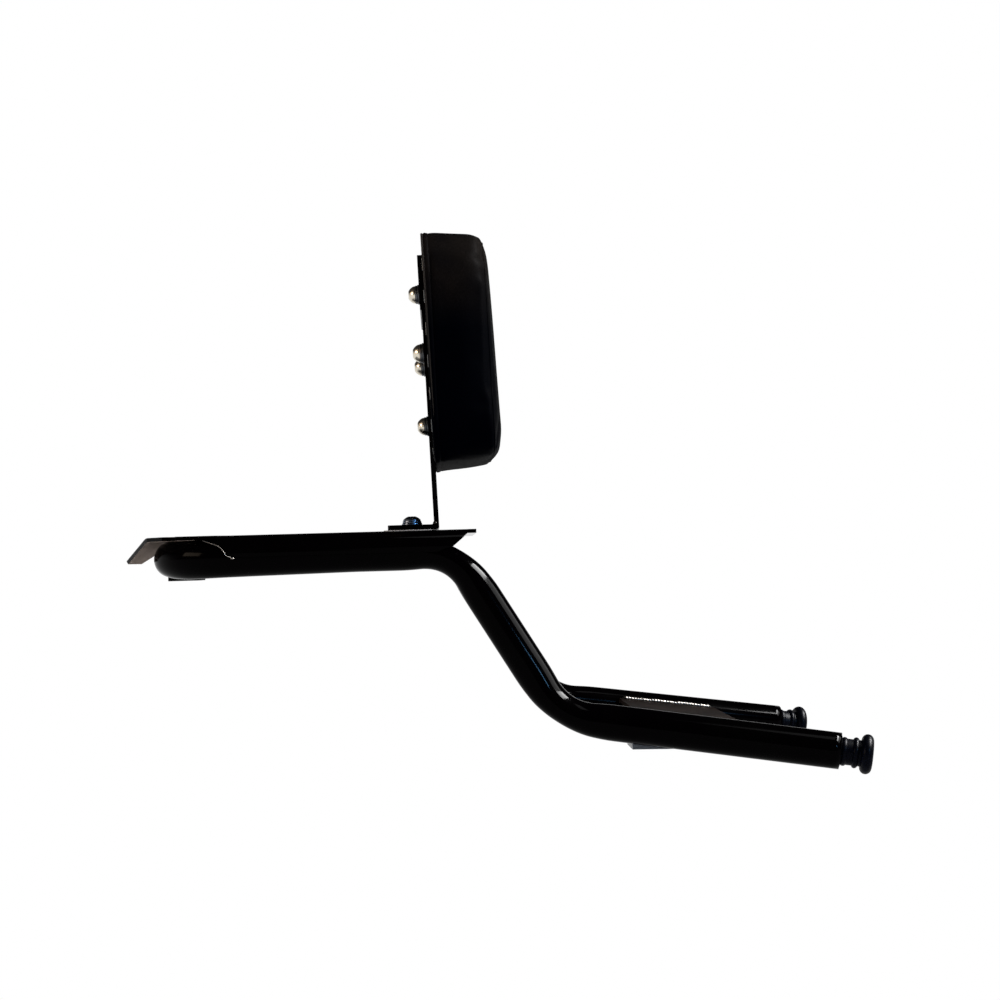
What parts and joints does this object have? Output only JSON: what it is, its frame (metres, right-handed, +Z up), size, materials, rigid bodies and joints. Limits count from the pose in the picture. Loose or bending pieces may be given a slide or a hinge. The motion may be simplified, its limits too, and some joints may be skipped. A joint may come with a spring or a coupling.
{
  "type": "motorcycle luggage rack with backrest",
  "caption": "Bent-tube motorcycle luggage rack with a folded carrier plate, a leaning flat upright and a padded passenger backrest.",
  "frame": {"origin": "centre of the four frame bolt holes, on the underside of the mount brackets", "axes": "+X to the front of the motorcycle, +Y to its left, +Z up"},
  "size_m": [0.5272, 0.2832, 0.3908],
  "materials": {
    "black_paint": "gloss black paint over steel",
    "grey_paint": "thin satin paint over steel",
    "grey_steel": "satin grey paint over steel",
    "plug_rubber": "dark moulded rubber with a soft sheen",
    "pad_rubber": "dark matt rubber",
    "gasket_fibre": "light grey matt sheet",
    "board_wood": "plain plywood",
    "black_vinyl": "black grained vinyl with a slight sheen",
    "piping_vinyl": "black vinyl piping",
    "zinc_steel": "zinc plated steel",
    "bright_steel": "bright stainless steel"
  },
  "bodies": {
    "root": {"main_tube": "black_paint", "end_plug_left": "plug_rubber", "end_plug_right": "plug_rubber", "luggage_plate": "black_paint", "rear_rest_pad": "pad_rubber", "cross_plate": "grey_paint", "mount_bracket_left": "grey_steel", "mount_bracket_right": "grey_steel", "foot_gasket": "gasket_fibre", "backrest_upright": "black_paint", "upright_backing_strip": "black_paint", "pad_board": "board_wood", "pad_cushion": "black_vinyl", "pad_welt": "piping_vinyl", "pad_tee_nuts": "zinc_steel", "pad_bolts": "bright_steel", "pad_spring_washers": "bright_steel", "pad_flat_washers": "bright_steel", "foot_bolts": "bright_steel", "foot_spring_washers": "bright_steel", "foot_flat_washers": "bright_steel", "foot_under_washers": "zinc_steel", "foot_nuts": "zinc_steel"}
  },
  "joints": []
}
